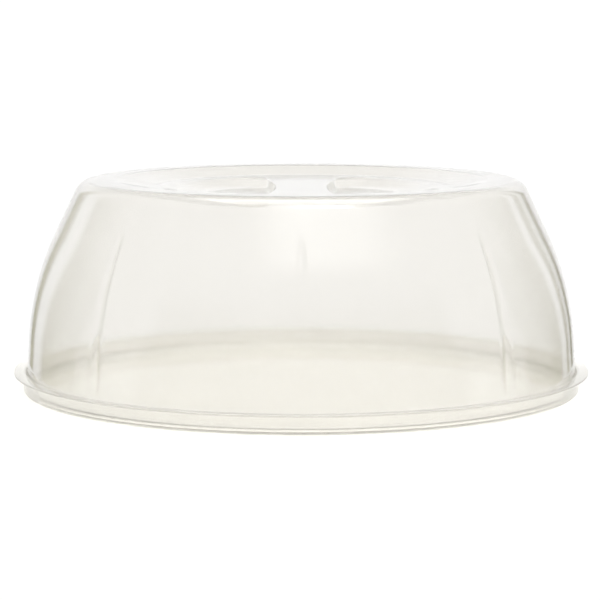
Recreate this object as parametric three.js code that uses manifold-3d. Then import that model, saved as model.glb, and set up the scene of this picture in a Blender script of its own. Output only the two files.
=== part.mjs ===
// Round humidity dome standing in a shallow tray. Millimetres, +Z up, origin at the middle of the tray's underside.
import * as THREE from 'three';
import { mergeVertices } from 'three/addons/utils/BufferGeometryUtils.js';
import Module from 'manifold-3d';

const wasm = await Module();
wasm.setup();

// Overall sizes
const trayRadius = 145; // outside of the tray's wall
const overallHeight = 109.6; // from the tray's underside to the dome's flat top ring

// Tray
const trayHeight = 10.4;
const trayWall = 1;
const trayFloor = 1.2;
const trayCornerRadius = 1.5;
const rimReach = 5; // how far the flat rim stands out from the wall
const rimThickness = 1;
const seatWidth = 4; // raised ledge that the dome's lower edge stands on
const seatRise = 1.2;

// Fit of the dome in the tray
const restGap = 0.3;
const sideGap = 0.35;

// Dome wall: straight near the foot, bent inwards, then straight up to the top edge
const domeWall = 1.2;
const lowerDraft = THREE.MathUtils.degToRad(3.5);
const upperDraft = THREE.MathUtils.degToRad(25.5);
const bendFoot = 26.6;
const bendTop = 82.6;
const topEdgeRadius = 9;

// Dome top: a flat ring, then a slope down to the middle, which holds the grip
const topRingWidth = 12;
const slopeWidth = 18;
const slopeDrop = 4;
const gripWidth = 27; // width of the grip bar at its waist
const gripSideRadius = 300; // plan curve of the bar's sides
const pocketMargin = 4;
const pocketDepth = 4.5;
const pocketSlopeWidth = 24; // plan width of the slope from the pocket's floor up to its outer end
const pocketCornerRadius = 14;
const pocketFloorRadius = 2.5;

// Flutes: shallow strips sunk into the wall, narrowing to a blunt point at the top
const fluteCount = 8;
const fluteWidth = 6;
const flutePointWidth = 0.8;
const fluteDepth = 0.6;
const fluteDrop = 18; // from the top ring down to the points
const fluteLift = 1; // from the tray's rim up to the feet

const turnSteps = 64;
const finish = { color: 0xf3f1ea, roughness: 0.12, metalness: 0, transparent: true, opacity: 0.35 };

// Points of an arc in the plane of an outline, end points included
function arc(centreX, centreY, radius, fromAngle, toAngle, steps) {
  const points = [];
  for (let step = 0; step <= steps; step += 1) {
    const angle = fromAngle + ((toAngle - fromAngle) * step) / steps;
    points.push(new THREE.Vector2(centreX + radius * Math.cos(angle), centreY + radius * Math.sin(angle)));
  }
  return points;
}

function point(radius, height) {
  return new THREE.Vector2(radius, height);
}

// A solid of revolution from an outline that starts and ends on the axis
function turned(outline) {
  const geometry = new THREE.LatheGeometry(outline, turnSteps);
  geometry.rotateX(Math.PI / 2);
  return geometry;
}

function toSolid(geometry) {
  const bare = geometry.clone();
  bare.deleteAttribute('normal');
  bare.deleteAttribute('uv');
  const merged = mergeVertices(bare, 1e-4);
  return new wasm.Manifold(new wasm.Mesh({
    numProp: 3,
    vertProperties: new Float32Array(merged.attributes.position.array),
    triVerts: new Uint32Array(merged.index.array),
  }));
}

function toGeometry(solid) {
  const mesh = solid.getMesh();
  const geometry = new THREE.BufferGeometry();
  geometry.setAttribute('position', new THREE.BufferAttribute(mesh.vertProperties, 3));
  geometry.setIndex(new THREE.BufferAttribute(mesh.triVerts, 1));
  geometry.computeVertexNormals();
  return geometry;
}

function piece(name, geometry) {
  const mesh = new THREE.Mesh(geometry, new THREE.MeshStandardMaterial(finish));
  mesh.name = name;
  return mesh;
}

// Places worked out from the sizes above
const domeFoot = trayFloor + seatRise + restGap;
const footRadius = trayRadius - trayWall - sideGap;
const bendRadius = (bendTop - bendFoot) / (Math.sin(upperDraft) - Math.sin(lowerDraft));
const bendFootRadius = footRadius - (bendFoot - domeFoot) * Math.tan(lowerDraft);
const bendCentre = point(
  bendFootRadius - bendRadius * Math.cos(lowerDraft),
  bendFoot - bendRadius * Math.sin(lowerDraft),
);
const bendTopRadius = bendCentre.x + bendRadius * Math.cos(upperDraft);
const sharpTopRadius = bendTopRadius - (overallHeight - bendTop) * Math.tan(upperDraft);
const topEdgeCentre = point(
  sharpTopRadius - topEdgeRadius * Math.tan((Math.PI / 2 - upperDraft) / 2),
  overallHeight - topEdgeRadius,
);
const slopeOuterRadius = topEdgeCentre.x - topRingWidth;
const slopeInnerRadius = slopeOuterRadius - slopeWidth;
const gripHeight = overallHeight - slopeDrop;
const pocketRadius = slopeInnerRadius - pocketMargin;

// Outline of the dome's body, moved inwards by inset all round, with its lower edge at the height given
function domeOutline(inset, lowerEdge) {
  const slopeAngle = Math.atan2(slopeDrop, slopeWidth);
  const slopeShift = inset * Math.tan(slopeAngle / 2);
  const lowerRadius = footRadius - inset / Math.cos(lowerDraft) - (lowerEdge - domeFoot) * Math.tan(lowerDraft);
  return [
    point(0, lowerEdge),
    point(lowerRadius, lowerEdge),
    ...arc(bendCentre.x, bendCentre.y, bendRadius - inset, lowerDraft, upperDraft, 6),
    ...arc(topEdgeCentre.x, topEdgeCentre.y, topEdgeRadius - inset, upperDraft, Math.PI / 2, 4),
    point(slopeOuterRadius - slopeShift, overallHeight - inset),
    point(slopeInnerRadius - slopeShift, gripHeight - inset),
    point(0, gripHeight - inset),
  ];
}

// Plan of the right-hand finger pocket: part of a circle, with a long bowed side along the grip bar
function pocketPlan() {
  const sideCentre = gripWidth / 2 + gripSideRadius;
  const outerReach = pocketRadius - pocketCornerRadius;
  const sideReach = gripSideRadius - pocketCornerRadius;
  const cornerX = (outerReach ** 2 - sideReach ** 2 + sideCentre ** 2) / (2 * sideCentre);
  const cornerY = Math.sqrt(outerReach ** 2 - cornerX ** 2);
  const outerAngle = Math.atan2(cornerY, cornerX);
  const sideAngle = Math.atan2(cornerY, cornerX - sideCentre);
  const outline = [
    ...arc(0, 0, pocketRadius, -outerAngle, outerAngle, 14),
    ...arc(cornerX, cornerY, pocketCornerRadius, outerAngle, sideAngle, 5).slice(1),
    ...arc(sideCentre, 0, gripSideRadius, sideAngle, 2 * Math.PI - sideAngle, 6).slice(1),
    ...arc(cornerX, -cornerY, pocketCornerRadius, -sideAngle, -outerAngle, 5).slice(1, -1),
  ];
  return new THREE.Shape(outline);
}

// Outline of a wide dish that gives the pockets their floor and sloping outer end, moved outwards by growth
function pocketDish(growth) {
  const slopeAngle = Math.atan2(pocketDepth, pocketSlopeWidth);
  const floorRadius = pocketRadius - pocketSlopeWidth;
  const floorHeight = gripHeight - pocketDepth;
  const rise = overallHeight - floorHeight + growth * Math.cos(slopeAngle);
  return [
    point(0, floorHeight - growth),
    point(floorRadius + growth * Math.tan(slopeAngle / 2), floorHeight - growth),
    point(floorRadius + growth * Math.sin(slopeAngle) + rise / Math.tan(slopeAngle), overallHeight),
    point(0, overallHeight),
  ];
}

// Both pockets as one cutting solid with rounded floor edges, grown all round by growth
function pocketCutter(growth) {
  const geometry = new THREE.ExtrudeGeometry(pocketPlan(), {
    depth: pocketDepth,
    bevelThickness: pocketFloorRadius,
    bevelSize: pocketFloorRadius,
    bevelOffset: growth - pocketFloorRadius,
    bevelSegments: 3,
  });
  geometry.translate(0, 0, gripHeight - pocketDepth - growth + pocketFloorRadius);
  const right = toSolid(geometry).intersect(toSolid(turned(pocketDish(growth))));
  return right.add(right.rotate([0, 0, 180]));
}

// Tall tapering wedges that mark where the flutes are, grown all round by growth
function fluteCutter(growth) {
  const foot = trayHeight + fluteLift - growth;
  const tip = overallHeight - fluteDrop + growth;
  const halfWidth = fluteWidth / 2 + growth;
  const halfPoint = flutePointWidth / 2 + growth;
  const outline = new THREE.Shape([
    point(-halfWidth, foot),
    point(halfWidth, foot),
    point(halfPoint, tip),
    point(-halfPoint, tip),
  ]);
  const geometry = new THREE.ExtrudeGeometry(outline, { depth: trayRadius, bevelEnabled: false });
  geometry.rotateX(Math.PI / 2);
  const first = toSolid(geometry);
  let all = first;
  for (let index = 1; index < fluteCount; index += 1) {
    all = all.add(first.rotate([0, 0, (360 * index) / fluteCount]));
  }
  return all;
}

// The dome's body moved inwards by inset, with its pockets and flutes moved the same way
function domeBody(inset, lowerEdge) {
  const body = toSolid(turned(domeOutline(inset, lowerEdge)));
  const core = toSolid(turned(domeOutline(inset + fluteDepth, lowerEdge)));
  return body.subtract(fluteCutter(inset).subtract(core)).subtract(pocketCutter(inset));
}

function domeCover() {
  const hollow = domeBody(domeWall, domeFoot - domeWall);
  return piece('dome_cover', toGeometry(domeBody(0, domeFoot).subtract(hollow)));
}

function baseTray() {
  const innerRadius = trayRadius - trayWall;
  const cornerCentre = trayRadius - trayCornerRadius;
  return piece('base_tray', turned([
    point(0, 0),
    ...arc(cornerCentre, trayCornerRadius, trayCornerRadius, -Math.PI / 2, 0, 4),
    point(trayRadius, trayHeight - rimThickness),
    point(trayRadius + rimReach, trayHeight - rimThickness),
    point(trayRadius + rimReach, trayHeight),
    point(innerRadius, trayHeight),
    point(innerRadius, trayFloor + seatRise),
    point(innerRadius - seatWidth, trayFloor + seatRise),
    point(innerRadius - seatWidth, trayFloor),
    point(0, trayFloor),
  ]));
}

const group = new THREE.Group();
group.add(baseTray(), domeCover());

export default group;
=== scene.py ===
import math

import bmesh
import bpy
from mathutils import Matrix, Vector


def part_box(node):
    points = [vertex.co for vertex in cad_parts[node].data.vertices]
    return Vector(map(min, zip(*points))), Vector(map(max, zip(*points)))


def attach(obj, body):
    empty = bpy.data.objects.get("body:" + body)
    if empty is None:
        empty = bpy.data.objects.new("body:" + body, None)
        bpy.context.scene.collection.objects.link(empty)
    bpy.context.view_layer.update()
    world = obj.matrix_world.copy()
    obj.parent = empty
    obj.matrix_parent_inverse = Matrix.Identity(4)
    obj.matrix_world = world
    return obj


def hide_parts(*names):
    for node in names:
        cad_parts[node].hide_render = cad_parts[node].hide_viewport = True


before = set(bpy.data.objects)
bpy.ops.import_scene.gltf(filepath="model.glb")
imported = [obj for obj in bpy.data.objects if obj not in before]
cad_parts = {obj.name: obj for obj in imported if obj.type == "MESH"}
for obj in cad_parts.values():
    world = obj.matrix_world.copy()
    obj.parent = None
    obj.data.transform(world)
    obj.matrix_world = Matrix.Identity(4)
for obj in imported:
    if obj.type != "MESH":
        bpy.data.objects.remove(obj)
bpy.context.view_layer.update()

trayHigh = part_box("base_tray")[1]
domeLow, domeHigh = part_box("dome_cover")

mm = 0.001
weldDistance = 0.02 * mm


def startPiece(name):
    # a fresh object in edit mode that holds one vertex at the world's origin
    bpy.ops.object.select_all(action="DESELECT")
    bpy.ops.mesh.primitive_plane_add(size=0.01, location=(0, 0, 0))
    piece = bpy.context.active_object
    piece.name = name
    piece.data.name = name
    bpy.ops.object.mode_set(mode="EDIT")
    bpy.ops.mesh.select_mode(type="VERT")
    bpy.ops.mesh.select_all(action="SELECT")
    bpy.ops.mesh.merge(type="CENTER")
    return piece


def drawChain(points):
    # moves the one selected vertex to the first point and extrudes it from point to point
    here = Vector((0, 0, 0))
    for index, point in enumerate(points):
        step = Vector(point) - here
        if index == 0:
            bpy.ops.transform.translate(value=step)
        else:
            bpy.ops.mesh.extrude_region_move(TRANSFORM_OT_translate={"value": step})
        here = Vector(point)


def selectWhere(piece, kind, test):
    # selects the vertices, edges or faces whose corners all pass the test, and nothing else
    bpy.ops.mesh.select_mode(type=kind)
    bpy.ops.mesh.select_all(action="DESELECT")
    shape = bmesh.from_edit_mesh(piece.data)
    parts = {"VERT": shape.verts, "EDGE": shape.edges, "FACE": shape.faces}[kind]
    for part in parts:
        if kind == "VERT":
            corners = [part.co]
        else:
            corners = [vert.co for vert in part.verts]
        if all(test(corner) for corner in corners):
            part.select = True
    shape.select_flush_mode()
    bmesh.update_edit_mesh(piece.data)


def weldAll():
    bpy.ops.mesh.select_mode(type="VERT")
    bpy.ops.mesh.select_all(action="SELECT")
    bpy.ops.mesh.remove_doubles(threshold=weldDistance)
    bpy.ops.mesh.normals_make_consistent(inside=False)
    bpy.ops.mesh.select_all(action="DESELECT")


def applyModifiers(piece):
    bpy.ops.object.select_all(action="DESELECT")
    piece.select_set(True)
    bpy.context.view_layer.objects.active = piece
    for modifier in list(piece.modifiers):
        bpy.ops.object.modifier_apply(modifier=modifier.name)


def arcPoints(centre, radius, fromAngle, toAngle, steps):
    # points of an arc in the plane of an outline, both ends included
    angles = [fromAngle + (toAngle - fromAngle) * step / steps for step in range(steps + 1)]
    return [(centre[0] + radius * math.cos(a), centre[1] + radius * math.sin(a)) for a in angles]


def linePoints(start, end, steps):
    # points along a straight stretch, without its two ends
    return [tuple(a + (b - a) * step / steps for a, b in zip(start, end)) for step in range(1, steps)]


def roundCorner(before, corner, after, radius, steps):
    # the arc that rounds a corner between two straight stretches of an outline
    corner = Vector(corner)
    toBefore = (Vector(before) - corner).normalized()
    toAfter = (Vector(after) - corner).normalized()
    halfAngle = toBefore.angle(toAfter) / 2
    middle = corner + (toBefore + toAfter).normalized() * radius / math.sin(halfAngle)
    start = corner + toBefore * radius / math.tan(halfAngle) - middle
    end = corner + toAfter * radius / math.tan(halfAngle) - middle
    turn = start.angle_signed(end)
    points = []
    for step in range(steps + 1):
        angle = -turn * step / steps
        points.append((middle.x + start.x * math.cos(angle) - start.y * math.sin(angle),
                       middle.y + start.x * math.sin(angle) + start.y * math.cos(angle)))
    return points


domeSizes = {
    "wall": 1.2 * mm,
    "lowerDraft": math.radians(3.5),
    "upperDraft": math.radians(25.5),
    "bendFoot": 26.6 * mm,
    "bendTop": 82.6 * mm,
    "topEdgeRadius": 9 * mm,
    "topRingWidth": 12 * mm,
    "slopeWidth": 18 * mm,
    "slopeDrop": 4 * mm,
    "slopeOuterRounding": 10 * mm,
    "slopeInnerRounding": 5 * mm,
    "flatMargin": 2.2 * mm,  # width of the flat band kept inside the slope's inner edge
    "flatStep": 0.5 * mm,  # its first row of faces
    "footRadius": 143.65 * mm,
    "rowHeight": 2.2 * mm,  # height of a row of faces where the wall is straight
}

gripSizes = {
    "barWidth": 27 * mm,
    "barSideRadius": 300 * mm,
    "pocketMargin": 4 * mm,
    "pocketDepth": 4.5 * mm,
    "pocketCornerRadius": 14 * mm,
    "cornerGrowth": 0.35,  # how much of the outer end's growth the plan's corners take
    "barWallRun": 1.8 * mm,  # how far the wall by the bar leans out
    "outerWallRun": 24 * mm,  # length of the slope at the outer end
    "rimRounding": 1.8 * mm,
    "rimBand": 0.9 * mm,  # flat band kept round the rim
    "floorRounding": 2.5 * mm,
    "floorBand": 0.6 * mm,  # flat band kept round the floor
}

fluteSizes = {
    "count": 8,
    "width": 11 * mm,  # at the foot
    "tipShare": 0.6,  # the width at the tip, as a share of the width at the foot
    "depth": 0.6 * mm,
    "drop": 18 * mm,
    "lift": 1 * mm,
    "tipLength": 12 * mm,
    "footLength": 2 * mm,
    "fineTurn": math.radians(5),  # turn about each flute that gets the fine steps
    "fineSteps": 22,
    "plainSteps": 12,
}


def domePlaces():
    # the turning points of the dome's outer outline, worked out from its sizes: radius, height
    size = domeSizes
    footZ, topZ = domeLow.z, domeHigh.z
    low, high = size["lowerDraft"], size["upperDraft"]
    bendRadius = (size["bendTop"] - size["bendFoot"]) / (math.sin(high) - math.sin(low))
    bendFootRadius = size["footRadius"] - (size["bendFoot"] - footZ) * math.tan(low)
    bendCentre = (bendFootRadius - bendRadius * math.cos(low),
                  size["bendFoot"] - bendRadius * math.sin(low))
    bendTopRadius = bendCentre[0] + bendRadius * math.cos(high)
    sharpTopRadius = bendTopRadius - (topZ - size["bendTop"]) * math.tan(high)
    edgeCentre = (sharpTopRadius - size["topEdgeRadius"] * math.tan((math.pi / 2 - high) / 2),
                  topZ - size["topEdgeRadius"])
    slopeOuter = (edgeCentre[0] - size["topRingWidth"], topZ)
    slopeInner = (slopeOuter[0] - size["slopeWidth"], topZ - size["slopeDrop"])
    return {"foot": (size["footRadius"], footZ), "bendCentre": bendCentre, "bendRadius": bendRadius,
            "edgeCentre": edgeCentre, "slopeOuter": slopeOuter, "slopeInner": slopeInner}


def domeProfile():
    # half outline of the dome's outer skin, from just inside the slope down to the foot: radius, height
    size = domeSizes
    places = domePlaces()
    foot, slopeInner, slopeOuter = places["foot"], places["slopeInner"], places["slopeOuter"]
    low, high = size["lowerDraft"], size["upperDraft"]
    bend = arcPoints(places["bendCentre"], places["bendRadius"], high, low, 28)
    topEdge = arcPoints(places["edgeCentre"], size["topEdgeRadius"], math.pi / 2, high, 14)
    flatEnd = (slopeInner[0] - size["flatMargin"], slopeInner[1])
    outline = [flatEnd, (flatEnd[0] + size["flatStep"], flatEnd[1])]
    outline += roundCorner(flatEnd, slopeInner, slopeOuter, size["slopeInnerRounding"], 6)
    outline += roundCorner(slopeInner, slopeOuter, topEdge[0], size["slopeOuterRounding"], 8)
    outline += topEdge
    outline += linePoints(topEdge[-1], bend[0], round((topEdge[-1][1] - bend[0][1]) / size["rowHeight"]))
    outline += bend
    outline += linePoints(bend[-1], foot, round((bend[-1][1] - foot[1]) / size["rowHeight"]))
    outline.append(foot)
    return outline


def spinFluted(profile):
    # turns the profile once round, with fine steps where each flute will be sunk
    flutes = fluteSizes
    share = 2 * math.pi / flutes["count"]
    plainTurn = (share - flutes["fineTurn"]) / 2
    start = -share / 2
    drawChain([(radius * math.cos(start), radius * math.sin(start), height) for radius, height in profile])
    bpy.ops.mesh.select_all(action="SELECT")
    for flute in range(flutes["count"]):
        for turn, steps in ((plainTurn, flutes["plainSteps"]), (flutes["fineTurn"], flutes["fineSteps"]),
                            (plainTurn, flutes["plainSteps"])):
            bpy.ops.mesh.spin(steps=steps, angle=turn, center=(0, 0, 0), axis=(0, 0, 1))


def pocketOutline(sideGrowth, outerGrowth):
    # plan of the right-hand finger pocket: part of a circle with a bowed side along the bar
    grip = gripSizes
    outer = domePlaces()["slopeInner"][0] - grip["pocketMargin"] + outerGrowth
    corner = grip["pocketCornerRadius"] + outerGrowth * grip["cornerGrowth"]
    side = grip["barSideRadius"] + sideGrowth
    sideCentre = grip["barWidth"] / 2 + grip["barSideRadius"]
    outerReach, sideReach = outer - corner, side - corner
    cornerX = (outerReach ** 2 - sideReach ** 2 + sideCentre ** 2) / (2 * sideCentre)
    cornerY = math.sqrt(outerReach ** 2 - cornerX ** 2)
    outerAngle = math.atan2(cornerY, cornerX)
    sideAngle = math.atan2(cornerY, cornerX - sideCentre)
    return (arcPoints((0, 0), outer, -outerAngle, outerAngle, 44)
            + arcPoints((cornerX, cornerY), corner, outerAngle, sideAngle, 14)[1:]
            + arcPoints((sideCentre, 0), side, sideAngle, 2 * math.pi - sideAngle, 40)[1:]
            + arcPoints((cornerX, -cornerY), corner, -sideAngle, -outerAngle, 14)[1:-1])


def pocketSection():
    # how a pocket's wall runs from the rim to the floor:
    # growth along the bar, growth at the outer end, height
    grip = gripSizes
    rim = (grip["rimRounding"] * 2, 0)
    mouth = (0, 0)
    floorCorner = (-grip["barWallRun"], -grip["pocketDepth"])
    middle = (-grip["barWallRun"] - grip["barWidth"] / 2, -grip["pocketDepth"])
    wall = roundCorner(rim, mouth, floorCorner, grip["rimRounding"], 8)
    wall += linePoints(wall[-1], floorCorner, 6)[:1]
    wall += roundCorner(mouth, floorCorner, middle, grip["floorRounding"], 10)
    band = grip["rimBand"]
    section = [(wall[0][0] + band, band, 0), (wall[0][0] + band / 2, band / 2, 0)]
    for along, height in wall:
        share = math.acos(1 + 2 * max(-1, height / grip["pocketDepth"])) / math.pi
        section.append((along, -grip["outerWallRun"] * share, height))
    floorBand = grip["floorBand"]
    section.append((wall[-1][0] - floorBand, section[-1][1] - floorBand, -grip["pocketDepth"]))
    return section


def addPocket(piece, side, topZ):
    # rings of the pocket one below the other, joined with faces, and a floor
    shape = bmesh.from_edit_mesh(piece.data)
    rings = []
    for sideGrowth, outerGrowth, height in pocketSection():
        plan = pocketOutline(sideGrowth, outerGrowth)
        rings.append([shape.verts.new((side * x, side * y, topZ + height)) for x, y in plan])
    for upper, lower in zip(rings, rings[1:]):
        for index in range(len(upper)):
            after = (index + 1) % len(upper)
            shape.faces.new((upper[index], upper[after], lower[after], lower[index]))
    shape.faces.new(rings[-1])
    bmesh.update_edit_mesh(piece.data)


def makeDome():
    piece = startPiece("domeShell")
    profile = domeProfile()
    spinFluted(profile)
    weldAll()
    barTop = profile[0][1]
    for side in (1, -1):
        addPocket(piece, side, barTop)
    rimRadius = profile[0][0] + 0.05 * mm
    selectWhere(piece, "EDGE", lambda co: abs(co.z - barTop) < 1e-6 and math.hypot(co.x, co.y) < rimRadius)
    # only the open edges are filled between: the rim of the slope and the pockets' rims
    shape = bmesh.from_edit_mesh(piece.data)
    for edge in shape.edges:
        edge.select = edge.select and len(edge.link_faces) == 1
    bmesh.update_edit_mesh(piece.data)
    bpy.ops.mesh.fill(use_beauty=True)
    weldAll()
    bpy.ops.object.mode_set(mode="OBJECT")
    sinkFlutes(piece)
    addWall(piece)
    bpy.ops.object.shade_smooth()
    return piece


def sinkFlutes(piece):
    # a soft groove for each flute, pushed in along the skin by a weighted displace
    flutes = fluteSizes
    share = 2 * math.pi / flutes["count"]
    footZ, tipZ = trayHigh.z + flutes["lift"], domeHigh.z - flutes["drop"]
    group = piece.vertex_groups.new(name="flutes")
    for vert in piece.data.vertices:
        x, y, z = vert.co
        if not footZ < z < tipZ:
            continue
        radius = math.hypot(x, y)
        turn = math.atan2(y, x) % share
        across = min(turn, share - turn) * radius
        down = (tipZ - z) / (tipZ - footZ)
        halfWidth = flutes["width"] / 2 * (flutes["tipShare"] + (1 - flutes["tipShare"]) * down)
        if across >= halfWidth:
            continue
        groove = math.cos(math.pi / 2 * across / halfWidth) ** 2
        foot = min(1, (z - footZ) / flutes["footLength"])
        tip = math.sin(math.pi / 2 * min(1, (tipZ - z) / flutes["tipLength"]))
        group.add([vert.index], groove * foot * tip, "REPLACE")
    sunk = piece.modifiers.new("sunk flutes", "DISPLACE")
    sunk.strength = -flutes["depth"]
    sunk.mid_level = 0
    sunk.vertex_group = "flutes"
    applyModifiers(piece)
    piece.vertex_groups.clear()


def addWall(piece):
    wall = piece.modifiers.new("wall", "SOLIDIFY")
    wall.thickness = domeSizes["wall"]
    wall.offset = -1
    wall.use_even_offset = True
    applyModifiers(piece)


traySizes = {
    "wall": 1.0 * mm,
    "floor": 1.2 * mm,
    "cornerRadius": 1.5 * mm,
    "rimReach": 5 * mm,
    "rimThickness": 1 * mm,
    "seatWidth": 4 * mm,
    "seatRise": 1.2 * mm,
    "edgeRounding": 0.35 * mm,
    "flatBand": 8 * mm,  # band of faces kept inside the wall on the floor and the underside
    "turnSteps": 288,
}


def trayProfile():
    # closed half section of the tray with its corners rounded: radius, height
    size = traySizes
    outer = trayHigh.x - size["rimReach"]
    inner = outer - size["wall"]
    seat = size["floor"] + size["seatRise"]
    small = size["edgeRounding"]
    corners = [
        ((outer, 0), size["cornerRadius"], 5),
        ((outer, trayHigh.z - size["rimThickness"]), small, 3),
        ((trayHigh.x, trayHigh.z - size["rimThickness"]), small, 3),
        ((trayHigh.x, trayHigh.z), small, 3),
        ((inner, trayHigh.z), small, 3),
        ((inner, seat), small, 3),
        ((inner - size["seatWidth"], seat), small, 3),
        ((inner - size["seatWidth"], size["floor"]), small, 3),
    ]
    stops = [(0, 0)] + [corner for corner, radius, steps in corners] + [(0, size["floor"])]
    band = size["flatBand"]
    outline = [(0, 0), (outer / 2, 0), (outer - band, 0)]
    for index, (corner, radius, steps) in enumerate(corners):
        outline += roundCorner(stops[index], corner, stops[index + 2], radius, steps)
    outline += [(inner - band, size["floor"]), (outer / 2, size["floor"]), (0, size["floor"])]
    return outline


def makeTray():
    piece = startPiece("trayShell")
    drawChain([(radius, 0, height) for radius, height in trayProfile()])
    bpy.ops.mesh.select_all(action="SELECT")
    bpy.ops.mesh.spin(steps=traySizes["turnSteps"], angle=2 * math.pi, center=(0, 0, 0), axis=(0, 0, 1))
    weldAll()
    bpy.ops.object.mode_set(mode="OBJECT")
    bpy.ops.object.shade_smooth()
    return piece


domeLook = {
    "colour": (0.909, 0.903, 0.896),
    "clearness": 0.92,
    "absorption": (0.93, 0.92, 0.74),
    "density": 9.0,
    "ior": 1.49,
    "roughness": 0.07,
}

trayLook = {
    "colour": (0.950, 0.944, 0.930),
    "clearness": 0.78,
    "absorption": (0.93, 0.90, 0.78),
    "density": 4.0,
    "ior": 1.49,
    "roughness": 0.09,
}


surfaceLook = {
    "waveSize": 30,
    "waveDetail": 1.5,
    "waveStrength": 0.2,
    "waveHeight": 0.4 * mm,
    "polishSize": 60,
    "polishDetail": 4,
    "roughnessSpread": 0.03,
    "lampTint": (0.97, 0.965, 0.94),  # colour that lamps' light takes on its way through
}


def wavyPlasticGroup():
    # faint waves and polish changes that moulding leaves: puts out a height and a roughness
    group = bpy.data.node_groups.new("wavyPlastic", "ShaderNodeTree")
    face = group.interface
    waves = face.new_socket(name="Wave Size", in_out="INPUT", socket_type="NodeSocketFloat")
    waves.default_value = surfaceLook["waveSize"]
    base = face.new_socket(name="Base Roughness", in_out="INPUT", socket_type="NodeSocketFloat")
    base.default_value = domeLook["roughness"]
    spread = face.new_socket(name="Roughness Spread", in_out="INPUT", socket_type="NodeSocketFloat")
    spread.default_value = surfaceLook["roughnessSpread"]
    face.new_socket(name="Height", in_out="OUTPUT", socket_type="NodeSocketFloat")
    face.new_socket(name="Roughness", in_out="OUTPUT", socket_type="NodeSocketFloat")
    nodes, links = group.nodes, group.links
    source = nodes.new("NodeGroupInput")
    result = nodes.new("NodeGroupOutput")
    place = nodes.new("ShaderNodeTexCoord")
    slow = nodes.new("ShaderNodeTexNoise")
    slow.inputs["Detail"].default_value = surfaceLook["waveDetail"]
    links.new(place.outputs["Object"], slow.inputs["Vector"])
    links.new(source.outputs["Wave Size"], slow.inputs["Scale"])
    links.new(slow.outputs["Fac"], result.inputs["Height"])
    polish = nodes.new("ShaderNodeTexNoise")
    polish.inputs["Scale"].default_value = surfaceLook["polishSize"]
    polish.inputs["Detail"].default_value = surfaceLook["polishDetail"]
    links.new(place.outputs["Object"], polish.inputs["Vector"])
    scaled = nodes.new("ShaderNodeMath")
    scaled.operation = "MULTIPLY_ADD"
    links.new(polish.outputs["Fac"], scaled.inputs[0])
    links.new(source.outputs["Roughness Spread"], scaled.inputs[1])
    links.new(source.outputs["Base Roughness"], scaled.inputs[2])
    links.new(scaled.outputs[0], result.inputs["Roughness"])
    return group


def clearPlastic(name, look, group):
    material = bpy.data.materials.new(name)
    material.use_nodes = True
    nodes, links = material.node_tree.nodes, material.node_tree.links
    nodes.clear()
    out = nodes.new("ShaderNodeOutputMaterial")
    plastic = nodes.new("ShaderNodeBsdfPrincipled")
    plastic.inputs["Base Color"].default_value = (*look["colour"], 1)
    plastic.inputs["IOR"].default_value = look["ior"]
    plastic.inputs["Transmission Weight"].default_value = look["clearness"]
    plastic.inputs["Metallic"].default_value = 0
    surface = nodes.new("ShaderNodeGroup")
    surface.node_tree = group
    surface.inputs["Base Roughness"].default_value = look["roughness"]
    links.new(surface.outputs["Roughness"], plastic.inputs["Roughness"])
    bump = nodes.new("ShaderNodeBump")
    bump.inputs["Strength"].default_value = surfaceLook["waveStrength"]
    bump.inputs["Distance"].default_value = surfaceLook["waveHeight"]
    links.new(surface.outputs["Height"], bump.inputs["Height"])
    links.new(bump.outputs["Normal"], plastic.inputs["Normal"])
    # lamps reach what is behind the plastic
    path = nodes.new("ShaderNodeLightPath")
    clear = nodes.new("ShaderNodeBsdfTransparent")
    clear.inputs["Color"].default_value = (*surfaceLook["lampTint"], 1)
    mix = nodes.new("ShaderNodeMixShader")
    links.new(path.outputs["Is Shadow Ray"], mix.inputs["Fac"])
    links.new(plastic.outputs["BSDF"], mix.inputs[1])
    links.new(clear.outputs["BSDF"], mix.inputs[2])
    links.new(mix.outputs["Shader"], out.inputs["Surface"])
    depth = nodes.new("ShaderNodeVolumeAbsorption")
    depth.inputs["Color"].default_value = (*look["absorption"], 1)
    depth.inputs["Density"].default_value = look["density"]
    links.new(depth.outputs["Volume"], out.inputs["Volume"])
    return material


def paint(piece, material):
    piece.data.materials.clear()
    piece.data.materials.append(material)


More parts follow.
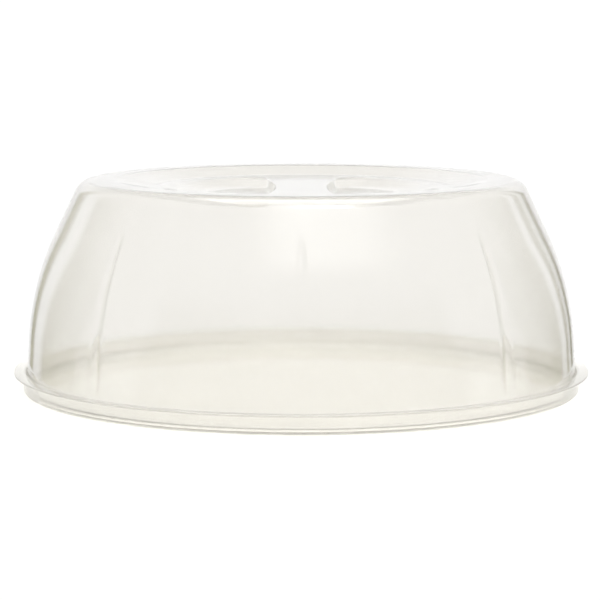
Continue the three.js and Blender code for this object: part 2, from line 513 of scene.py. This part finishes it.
studio = {
    "floorRadius": 0.2,
    "floorDrop": 0.2 * mm,  # gap between the floor and the object's underside
    "floorColour": (0.8, 0.805, 0.83),
    "floorRoughness": 0.9,
    "floorGlow": 0.06,
    "backdropLevel": 1.05,
    # levels round the horizon, by degrees of turn from straight ahead
    "ring": [(-180, 0.45), (-110, 0.45), (-104, 0.85), (-76, 0.85), (-70, 0.36), (-44, 0.36), (-39, 1.05),
             (-31, 1.05), (-28, 0.42), (-22, 0.42), (-20, 1.06), (19, 1.06), (21, 0.22), (24, 0.22),
             (26, 0.95), (28, 0.95), (30, 0.3), (33, 0.3), (35, 1.05), (38, 1.05), (42, 0.3), (70, 0.32),
             (76, 0.85), (104, 0.85), (110, 0.45), (180, 0.45)],
    "greenLoss": 0.08,  # how much of its green a dark stretch of the ring loses
    "blueLoss": 0.6,
    # degrees of height between which the ring goes dull, leans outwards and turns white
    "dullFrom": 13,
    "dullTo": 30,
    "dullColour": (0.73, 0.71, 0.66),
    "leanFrom": -6,
    "leanTo": 12,
    "lean": 9,
    "whiteFrom": -11,
    "whiteTo": -14,
    # soft-edged bright patch, in degrees
    "frontBox": {"height": 56, "halfHeight": 14, "softHeight": 9, "turn": 16, "halfTurn": 34,
                 "softTurn": 16, "level": 1.6},
    "overhead": {"place": (0, 0.1, 1.5), "width": 1.2, "height": 1.0, "power": 9},
    "front": {"place": (0.2, -0.75, 1.15), "width": 0.5, "height": 0.35, "power": 3},
    "aim": (0, 0, 0.08),
    "cameraPlace": (0, -1.305, 0.2127),
    "cameraDown": math.radians(7.29),
    "cameraLens": 150.7,
    "cameraShift": -0.0021,
}


def makeFloor():
    bpy.ops.object.select_all(action="DESELECT")
    bpy.ops.mesh.primitive_circle_add(vertices=128, radius=studio["floorRadius"], fill_type="NGON",
                                      location=(0, 0, -studio["floorDrop"]))
    floor = bpy.context.active_object
    floor.name = "paleFloor"
    material = bpy.data.materials.new("palePaper")
    material.use_nodes = True
    shader = material.node_tree.nodes["Principled BSDF"]
    shader.inputs["Base Color"].default_value = (*studio["floorColour"], 1)
    shader.inputs["Roughness"].default_value = studio["floorRoughness"]
    shader.inputs["Emission Color"].default_value = (1, 1, 1, 1)
    shader.inputs["Emission Strength"].default_value = studio["floorGlow"]
    paint(floor, material)


def mathNode(nodes, links, operation, *values):
    # one math node fed with numbers or sockets, gives back its output socket
    node = nodes.new("ShaderNodeMath")
    node.operation = operation
    for index, value in enumerate(values):
        if isinstance(value, (int, float)):
            node.inputs[index].default_value = value
        else:
            links.new(value, node.inputs[index])
    return node.outputs[0]


def makeWorld():
    # white all round for the camera; for everything else a white backdrop with darker sides
    world = bpy.data.worlds.new("softStudio")
    bpy.context.scene.world = world
    world.use_nodes = True
    nodes, links = world.node_tree.nodes, world.node_tree.links
    nodes.clear()
    out = nodes.new("ShaderNodeOutputWorld")
    seen = nodes.new("ShaderNodeBackground")
    seen.inputs["Color"].default_value = (1, 1, 1, 1)
    seen.inputs["Strength"].default_value = studio["backdropLevel"]
    around = nodes.new("ShaderNodeBackground")
    around.inputs["Strength"].default_value = 1
    place = nodes.new("ShaderNodeTexCoord")
    parts = nodes.new("ShaderNodeSeparateXYZ")
    links.new(place.outputs["Generated"], parts.inputs["Vector"])
    # turn away from straight ahead, signed, leaning outwards with height
    turn = mathNode(nodes, links, "ARCTAN2", parts.outputs["X"], parts.outputs["Y"])
    height = mathNode(nodes, links, "ARCSINE", parts.outputs["Z"])
    lean = nodes.new("ShaderNodeMapRange")
    lean.inputs["From Min"].default_value = math.radians(studio["leanFrom"])
    lean.inputs["From Max"].default_value = math.radians(studio["leanTo"])
    lean.inputs["To Max"].default_value = math.radians(studio["lean"])
    links.new(height, lean.inputs["Value"])
    size = mathNode(nodes, links, "ABSOLUTE", turn)
    size = mathNode(nodes, links, "SUBTRACT", size, lean.outputs[0])
    size = mathNode(nodes, links, "MAXIMUM", size, 0)
    turned = mathNode(nodes, links, "MULTIPLY", size, mathNode(nodes, links, "SIGN", turn))
    share = mathNode(nodes, links, "MULTIPLY_ADD", turned, 0.5 / math.pi, 0.5)
    ramp = nodes.new("ShaderNodeValToRGB")
    band = ramp.color_ramp
    while len(band.elements) < len(studio["ring"]):
        band.elements.new(0.5)
    for element, (degrees, level) in zip(band.elements, studio["ring"]):
        warmth = max(0, 1 - level)
        green = level * (1 - studio["greenLoss"] * warmth)
        blue = level * (1 - studio["blueLoss"] * warmth)
        element.position = 0.5 + degrees / 360
        element.color = (level, green, blue, 1)
    links.new(share, ramp.inputs["Fac"])
    # duller high up
    high = nodes.new("ShaderNodeMapRange")
    high.interpolation_type = "SMOOTHSTEP"
    high.inputs["From Min"].default_value = math.radians(studio["dullFrom"])
    high.inputs["From Max"].default_value = math.radians(studio["dullTo"])
    links.new(height, high.inputs["Value"])
    dull = nodes.new("ShaderNodeMixRGB")
    dull.inputs["Color2"].default_value = (*studio["dullColour"], 1)
    links.new(high.outputs[0], dull.inputs["Fac"])
    links.new(ramp.outputs["Color"], dull.inputs["Color1"])
    # white again well below the horizon
    low = nodes.new("ShaderNodeMapRange")
    low.interpolation_type = "SMOOTHSTEP"
    low.inputs["From Min"].default_value = math.radians(studio["whiteFrom"])
    low.inputs["From Max"].default_value = math.radians(studio["whiteTo"])
    links.new(height, low.inputs["Value"])
    ring = nodes.new("ShaderNodeMixRGB")
    ring.inputs["Color2"].default_value = (1, 1, 1, 1)
    links.new(low.outputs[0], ring.inputs["Fac"])
    links.new(dull.outputs["Color"], ring.inputs["Color1"])
    # a soft-edged bright patch high up in front
    box = studio["frontBox"]
    back = mathNode(nodes, links, "MULTIPLY", parts.outputs["Y"], -1)
    side = mathNode(nodes, links, "ARCTAN2", parts.outputs["X"], back)
    fades = []
    for source, middle, half, soft in ((height, box["height"], box["halfHeight"], box["softHeight"]),
                                       (side, box["turn"], box["halfTurn"], box["softTurn"])):
        away = mathNode(nodes, links, "SUBTRACT", source, math.radians(middle))
        fade = nodes.new("ShaderNodeMapRange")
        fade.interpolation_type = "SMOOTHSTEP"
        fade.inputs["From Min"].default_value = math.radians(half + soft)
        fade.inputs["From Max"].default_value = math.radians(half - soft)
        links.new(mathNode(nodes, links, "ABSOLUTE", away), fade.inputs["Value"])
        fades.append(fade.outputs[0])
    patch = mathNode(nodes, links, "MULTIPLY", fades[0], fades[1])
    glow = mathNode(nodes, links, "MULTIPLY", patch, box["level"])
    added = nodes.new("ShaderNodeMixRGB")
    added.blend_type = "ADD"
    added.inputs["Fac"].default_value = 1
    links.new(ring.outputs["Color"], added.inputs["Color1"])
    links.new(glow, added.inputs["Color2"])
    links.new(added.outputs["Color"], around.inputs["Color"])
    path = nodes.new("ShaderNodeLightPath")
    mix = nodes.new("ShaderNodeMixShader")
    links.new(path.outputs["Is Camera Ray"], mix.inputs["Fac"])
    links.new(around.outputs["Background"], mix.inputs[1])
    links.new(seen.outputs["Background"], mix.inputs[2])
    links.new(mix.outputs["Shader"], out.inputs["Surface"])


def addSoftbox(name):
    box = studio[name]
    bpy.ops.object.light_add(type="AREA", location=box["place"])
    lamp = bpy.context.active_object
    lamp.name = name
    lamp.data.shape = "RECTANGLE"
    lamp.data.size = box["width"]
    lamp.data.size_y = box["height"]
    lamp.data.energy = box["power"]
    lamp.rotation_euler = (Vector(studio["aim"]) - Vector(box["place"])).to_track_quat("-Z", "Y").to_euler()


def makeCamera():
    tilt = math.pi / 2 - studio["cameraDown"]
    bpy.ops.object.camera_add(location=studio["cameraPlace"], rotation=(tilt, 0, 0))
    camera = bpy.context.active_object
    camera.data.sensor_width = 36
    camera.data.lens = studio["cameraLens"]
    camera.data.shift_x = studio["cameraShift"]
    camera.data.clip_start = 0.05
    camera.data.clip_end = 20
    bpy.context.scene.camera = camera


makeCamera()
makeFloor()
makeWorld()
addSoftbox("overhead")
addSoftbox("front")
bpy.context.scene.view_settings.view_transform = "Standard"
print("camera, floor and lights are in place")

dome = makeDome()
print("dome modelled,", len(dome.data.polygons), "faces")
tray = makeTray()
print("tray modelled,", len(tray.data.polygons), "faces")

waves = wavyPlasticGroup()
domePlastic = clearPlastic("clearDomePlastic", domeLook, waves)
trayPlastic = clearPlastic("clearTrayPlastic", trayLook, waves)
paint(dome, domePlastic)
paint(tray, trayPlastic)

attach(dome, "dome")
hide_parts("dome_cover")
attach(tray, "tray")
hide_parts("base_tray")
print("pieces ride on their bodies")
